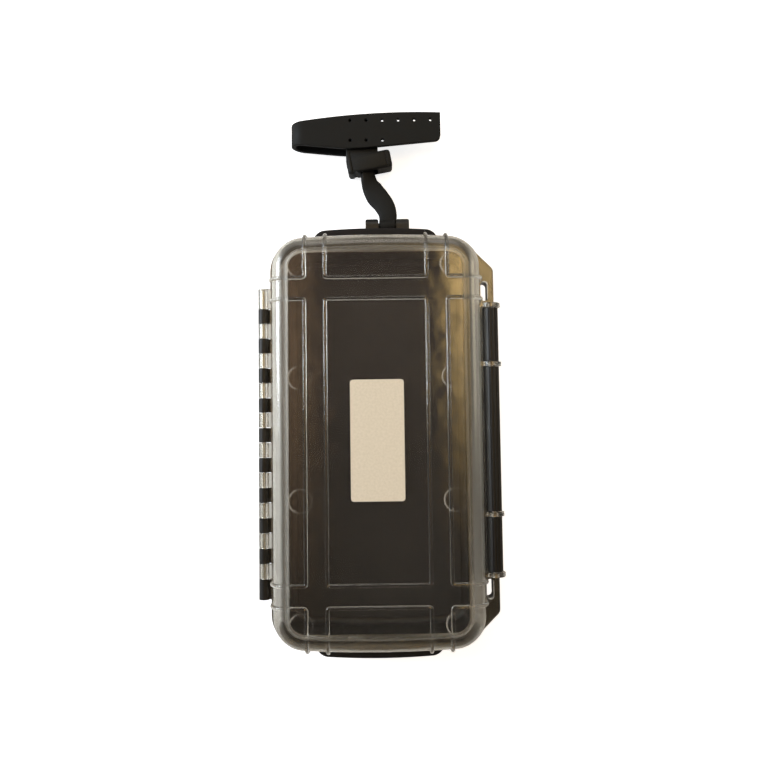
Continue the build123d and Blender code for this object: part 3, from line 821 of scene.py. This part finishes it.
def hole_tool(name, height, depth, low_radius, high_radius):
    """A round tool at each hole of the band, as one rough piece to cut with."""
    tools = bmesh.new()
    for row, count in HOLE_ROWS:
        for number in range(count):
            place = BAND_PLACE + Vector(((HOLE_START + HOLE_PITCH * number) * MM, row, height))
            bmesh.ops.create_cone(
                tools, cap_ends=True, segments=HOLE_SIDES, radius1=low_radius, radius2=high_radius,
                depth=depth, matrix=Matrix.Translation(place))
    return rough_piece(tools, name)


band_rough = rough_piece(strip, "band_rough")
wall = band_rough.modifiers.new("rubber_thickness", "SOLIDIFY")
wall.thickness = BAND_THICKNESS
wall.offset = 0.0
wall.use_even_offset = True
freeze(band_rough)
soften(band_rough, width=0.38 * MM, segments=3, angle=50.0)
punch = hole_tool(
    "punch", BAND_HEIGHT - BAND_THICKNESS / 2, depth=6.0 * MM, low_radius=0.75 * MM, high_radius=0.75 * MM)
carve(band_rough, punch, "DIFFERENCE")
flare = hole_tool(
    "flare", BAND_HEIGHT - 0.1 * MM, depth=0.8 * MM, low_radius=0.6 * MM, high_radius=1.4 * MM)
carve(band_rough, flare, "DIFFERENCE")
band = finish_rough(band_rough, "wrist_band", strap_skin, "strap", crease=35.0)
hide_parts("strap_band")
print(band.name, len(band.data.polygons), "faces")

# %% [markdown]
# The neck is an eye on the bar and a flat strip that swings left and turns on edge before it enters the
# keeper. A curve is the simplest way to turn a strip: its points carry a tilt and a width, and a small
# rounded outline is swept along it.

# %% Neck strip
HALF_WIDE = 4.5 * MM
HALF_THICK = 1.25 * MM
OUTLINE_CORNER = 0.7 * MM
NECK_POINTS = [
    ((6.6, 115.6, 11.6), 0.0, 0.96), ((6.8, 121.0, 10.1), 0.0, 1.06), ((4.9, 126.8, 8.4), 0.0, 1.20),
    ((1.1, 132.4, 6.9), 0.0, 1.30), ((-1.4, 137.0, 6.1), 8.0, 1.20), ((-3.1, 141.2, 5.7), 30.0, 1.06),
    ((-4.0, 149.5, 5.5), 50.0, 0.94)]
WELD = 1e-6

outline_curve = bpy.data.curves.new("strip_outline", "CURVE")
outline_curve.dimensions = "2D"
outline = outline_curve.splines.new("BEZIER")
flat_x = HALF_WIDE - OUTLINE_CORNER
flat_y = HALF_THICK - OUTLINE_CORNER
around = [
    (flat_x, -HALF_THICK), (HALF_WIDE, -flat_y), (HALF_WIDE, flat_y), (flat_x, HALF_THICK),
    (-flat_x, HALF_THICK), (-HALF_WIDE, flat_y), (-HALF_WIDE, -flat_y), (-flat_x, -HALF_THICK)]
outline.bezier_points.add(len(around) - 1)
for point, (x, y) in zip(outline.bezier_points, around):
    point.co = (x, y, 0.0)
    point.handle_left_type = "AUTO"
    point.handle_right_type = "AUTO"
outline.use_cyclic_u = True
outline.resolution_u = 3
strip_outline = bpy.data.objects.new("strip_outline", outline_curve)
bpy.context.scene.collection.objects.link(strip_outline)

neck_curve = bpy.data.curves.new("neck_line", "CURVE")
neck_curve.dimensions = "3D"
neck_curve.bevel_mode = "OBJECT"
neck_curve.bevel_object = strip_outline
neck_curve.use_fill_caps = True
neck_curve.twist_mode = "Z_UP"
neck_curve.resolution_u = 14
neck_line = neck_curve.splines.new("BEZIER")
neck_line.bezier_points.add(len(NECK_POINTS) - 1)
for point, (place, tilt_angle, wide) in zip(neck_line.bezier_points, NECK_POINTS):
    point.co = Vector(place) * MM
    point.handle_left_type = "AUTO"
    point.handle_right_type = "AUTO"
    point.tilt = math.radians(tilt_angle)
    point.radius = wide
neck_object = bpy.data.objects.new("neck_line", neck_curve)
bpy.context.scene.collection.objects.link(neck_object)
neck_mesh = frozen(neck_object)
bpy.data.objects.remove(neck_object)
bpy.data.objects.remove(strip_outline)
neck_model = bmesh.new()
neck_model.from_mesh(neck_mesh)
bmesh.ops.remove_doubles(neck_model, verts=neck_model.verts, dist=WELD)
bmesh.ops.recalc_face_normals(neck_model, faces=neck_model.faces)
neck_rough = rough_piece(neck_model, "neck_rough")
print("neck strip", len(neck_rough.data.polygons), "faces")

# %% [markdown]
# The eye that holds the neck on its bar is a ring. A small rounded rectangle is spun round the bar, and
# the ring and the strip are joined, because the real neck is moulded in one.

# %% Neck eye
BAR_PLACE = Vector((6.4, 114.7, 11.0)) * MM
EYE_WIDTH = 8.6 * MM
EYE_WALL = 1.7 * MM
EYE_CORNER = 0.5 * MM
EYE_MIDDLE_RADIUS = 2.5 * MM
EYE_STEPS = 40

eye = bmesh.new()
bmesh.ops.create_grid(eye, x_segments=1, y_segments=1, size=0.5)
bmesh.ops.scale(eye, verts=eye.verts, vec=(EYE_WIDTH, EYE_WALL, 1.0))
bmesh.ops.bevel(
    eye, geom=eye.verts[:], offset=EYE_CORNER, segments=3, profile=0.5, affect="VERTICES", material=-1)
bmesh.ops.translate(eye, verts=eye.verts, vec=(0.0, EYE_MIDDLE_RADIUS, 0.0))
bmesh.ops.translate(eye, verts=eye.verts, vec=BAR_PLACE)
bmesh.ops.spin(
    eye, geom=eye.verts[:] + eye.edges[:], cent=BAR_PLACE, axis=(1.0, 0.0, 0.0), angle=2 * math.pi,
    steps=EYE_STEPS, use_merge=True, use_duplicate=False)
bmesh.ops.delete(eye, geom=[f for f in eye.faces if len(f.verts) > 4], context="FACES_ONLY")
bmesh.ops.remove_doubles(eye, verts=eye.verts, dist=WELD)
bmesh.ops.recalc_face_normals(eye, faces=eye.faces)
carve(neck_rough, rough_piece(eye, "eye"), "UNION")
neck = finish_rough(neck_rough, "strap_neck_turned", strap_skin, "strap", crease=50.0)
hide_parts("strap_neck")
print(neck.name, len(neck.data.polygons), "faces")

# %% [markdown]
# The keeper is a moulded plastic block, turned a little on the strap. It is a cube with bevelled edges,
# joined to a flat saddle under the band. Its sizes and places are in millimetres.

# %% Keeper block
KEEPER_PLACE = Vector((-3.0, 150.8, 5.5))
KEEPER_TURN = 10.4
KEEPER_SIZE = (24.4, 9.9, 10.9)
SADDLE_SIZE = (17.3, 24.5, 10.7)
SADDLE_PLACE = (-6.9, 162.4, 5.45)


def rounded_block(size, place, turn_angle, radius):
    """A box with rounded edges, turned about the vertical, as a bmesh."""
    model = bmesh.new()
    bmesh.ops.create_cube(model, size=1.0)
    bmesh.ops.scale(model, verts=model.verts, vec=Vector(size) * MM)
    if radius > 0.0:
        bmesh.ops.bevel(
            model, geom=model.edges[:], offset=radius * MM, segments=4, profile=0.5,
            affect="EDGES", material=-1)
    bmesh.ops.rotate(model, verts=model.verts, cent=(0.0, 0.0, 0.0), matrix=Matrix.Rotation(
        math.radians(turn_angle), 3, "Z"))
    bmesh.ops.translate(model, verts=model.verts, vec=Vector(place) * MM)
    return model


keeper_rough = rough_piece(
    rounded_block(KEEPER_SIZE, KEEPER_PLACE, KEEPER_TURN, radius=1.7), "keeper_rough")
saddle = rough_piece(rounded_block(SADDLE_SIZE, SADDLE_PLACE, 0.0, radius=0.9), "saddle")
carve(keeper_rough, saddle, "UNION")
print("keeper block", len(keeper_rough.data.polygons), "faces")

# %% [markdown]
# The block has a mouth for the neck, a slot for the band's lower run, two notches beside its hook and a
# line at each end of its cover. One outline, extruded, couldn't hold openings from several sides, so
# tools cut them. Places on the turned block are given from its own middle.

# %% Keeper openings
MOUTH_SIZE = (9.4, 6.0, 8.0)
MOUTH_PLACE = (-0.6, -4.0, 0.0)
RUN_SLOT_SIZE = (42.0, 24.0, 3.0)
RUN_SLOT_PLACE = (-26.5, 168.7, 0.95)
NOTCHES = (((-8.2, -5.2, 0.0), 1.25), ((-5.1, -5.3, 0.0), 0.8))
NOTCH_SIDES = 28
NOTCH_DEPTH = 20.0
LINE_SIZE = (0.45, 14.0, 0.9)
LINE_PLACES = ((9.2, 0.0, 5.45), (-9.6, 0.0, 5.45))


def on_keeper(place):
    """A place on the turned keeper, from the keeper's own middle to the frame."""
    return KEEPER_PLACE + Matrix.Rotation(math.radians(KEEPER_TURN), 3, "Z") @ Vector(place)


mouth = rough_piece(rounded_block(MOUTH_SIZE, on_keeper(MOUTH_PLACE), KEEPER_TURN, radius=1.6), "mouth")
carve(keeper_rough, mouth, "DIFFERENCE")
run_slot = rough_piece(rounded_block(RUN_SLOT_SIZE, RUN_SLOT_PLACE, 0.0, radius=0.0), "run_slot")
carve(keeper_rough, run_slot, "DIFFERENCE")
for place, wide in NOTCHES:
    notch = bmesh.new()
    bmesh.ops.create_cone(
        notch, cap_ends=True, segments=NOTCH_SIDES, radius1=wide * MM, radius2=wide * MM,
        depth=NOTCH_DEPTH * MM, matrix=Matrix.Translation(on_keeper(place) * MM))
    carve(keeper_rough, rough_piece(notch, "notch"), "DIFFERENCE")
for place in LINE_PLACES:
    line = rough_piece(rounded_block(LINE_SIZE, on_keeper(place), KEEPER_TURN, radius=0.0), "line")
    carve(keeper_rough, line, "DIFFERENCE")
soften(keeper_rough, width=0.18 * MM, segments=2, angle=40.0)
keeper = finish_rough(
    keeper_rough, "strap_keeper_moulded", keeper_black, "strap", crease=40.0)
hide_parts("strap_keeper")
print(keeper.name, len(keeper.data.polygons), "faces")

# %% [markdown]
# The CAD pieces whose shape is right stay as they are, and only change their finish.

# %% Dress the CAD pieces
FINISH = {
    "base_shell": black, "strap_end_bumper": bumper_skin, "plain_end_bumper": bumper_skin,
    "floor_liner": liner_skin, "rim_seal": seal_skin, "hinge_pin": steel, "latch_pin": steel,
    "strap_pin": dark_steel, "lid_shell": clear, "lid_label": sticker, "latch_lever": latch_black,
}
for name, finish in FINISH.items():
    for material_slot in nodes[name].material_slots:
        material_slot.material = finish
print("dressed", len(FINISH))
